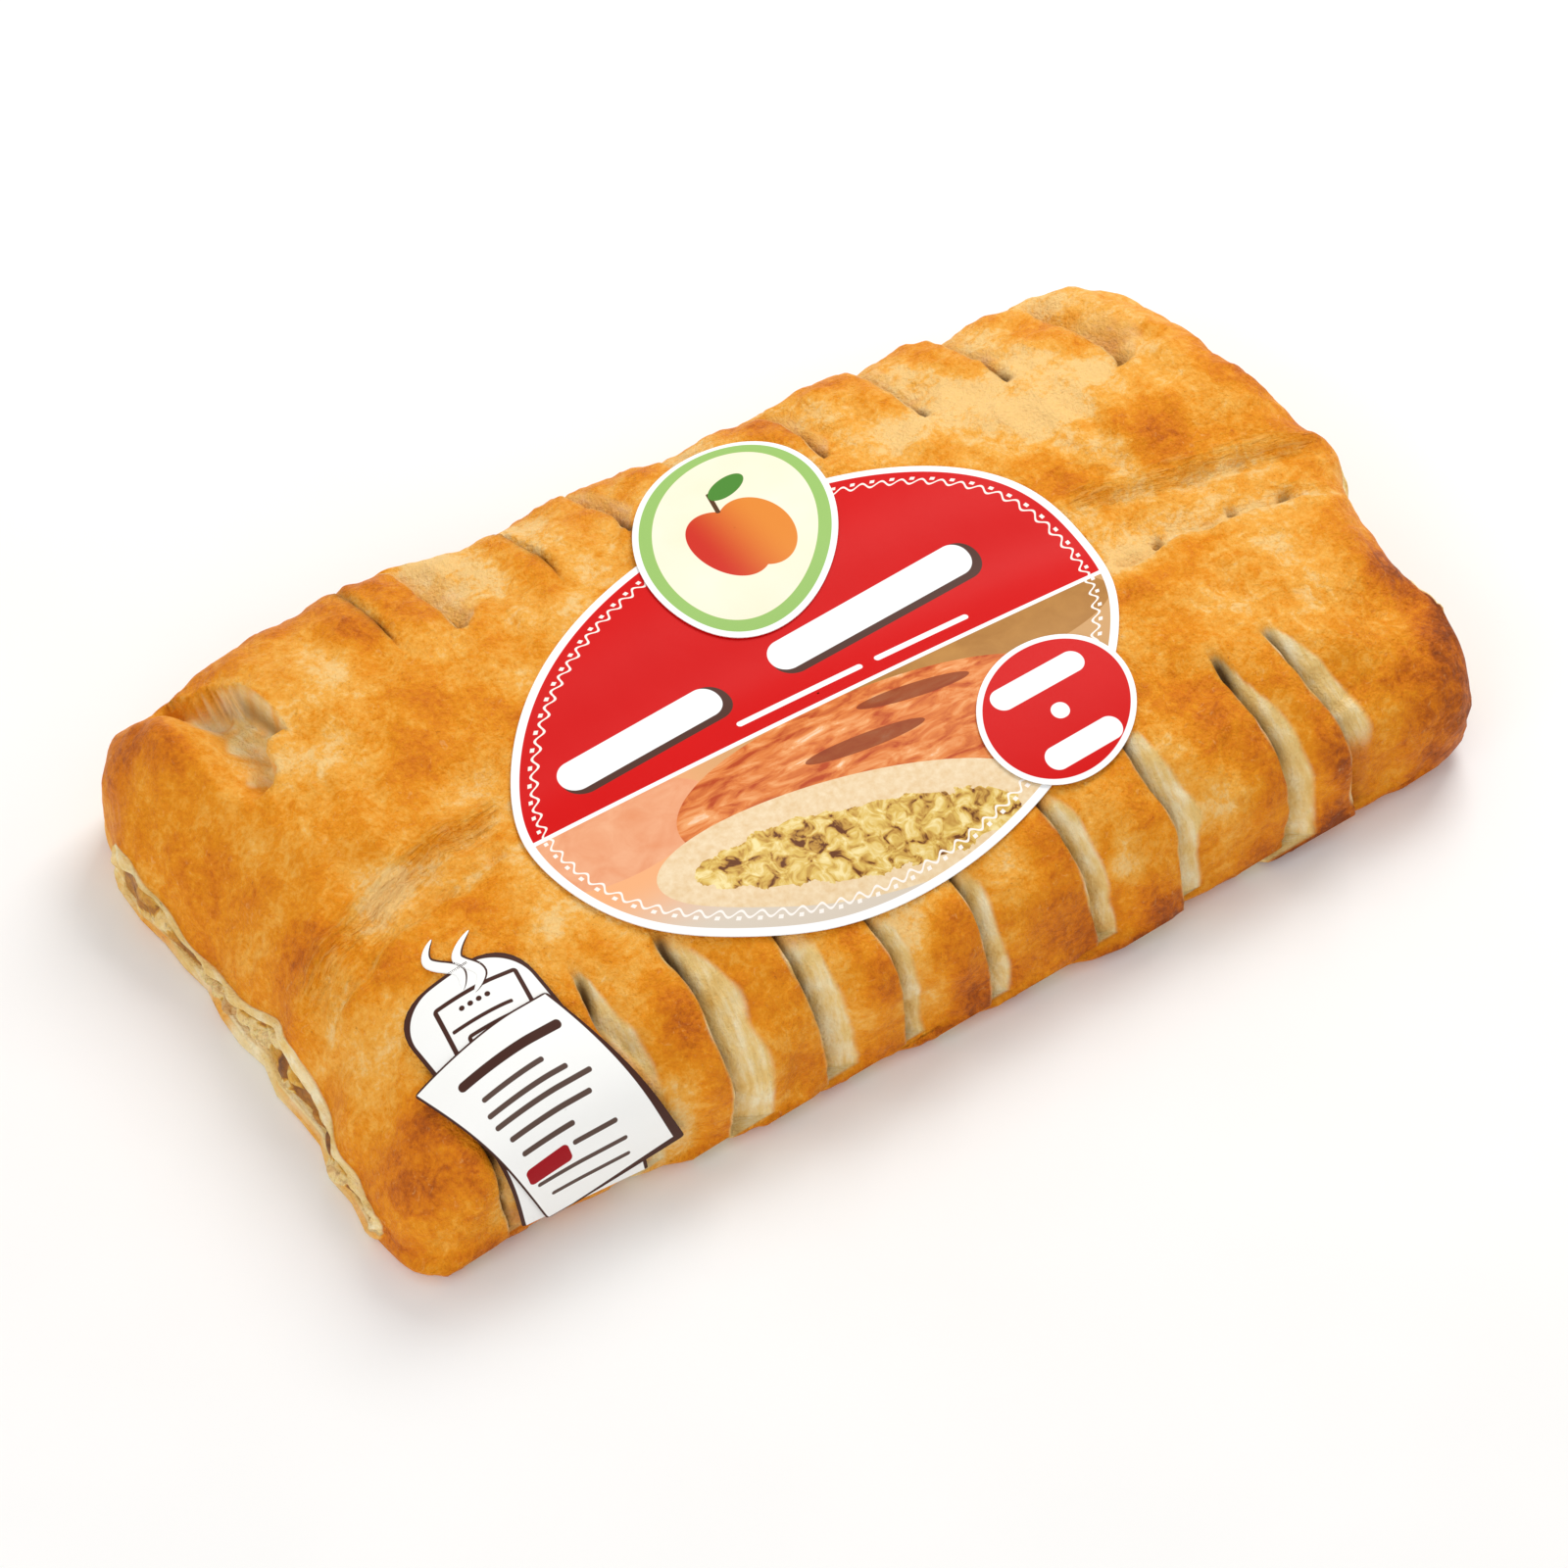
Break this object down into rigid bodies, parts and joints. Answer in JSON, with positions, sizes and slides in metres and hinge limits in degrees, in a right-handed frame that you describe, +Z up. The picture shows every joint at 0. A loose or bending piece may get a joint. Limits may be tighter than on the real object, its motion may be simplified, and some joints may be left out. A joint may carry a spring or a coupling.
{
  "type": "apple strudel",
  "caption": "Baked puff pastry roll with slanting slits, a pressed seam and cut ends that show the apple filling, with plain printed stickers laid on top.",
  "frame": {"origin": "middle of the flat base, on the surface it rests on", "axes": "+X along the roll, +Y to the rear side, +Z up through the crown"},
  "size_m": [0.2499, 0.1459, 0.0437],
  "materials": {
    "crust": "golden brown glazed puff pastry with darker baked patches and pale cut layers",
    "filling": "moist cooked apple with raisins",
    "red_print": "red printed film with a white rim and a cream field",
    "badge_print": "white printed film with plain fields of colour",
    "small_badge_print": "red printed film with a white ring",
    "card_print": "white printed card with a dark brown outline",
    "note_print": "white printed note with plain bars"
  },
  "bodies": {
    "root": {"pastry": "crust", "filling": "filling", "label_oval": "red_print", "badge_round": "badge_print", "badge_small": "small_badge_print", "note_card": "card_print", "note_sheet": "note_print"}
  },
  "joints": []
}
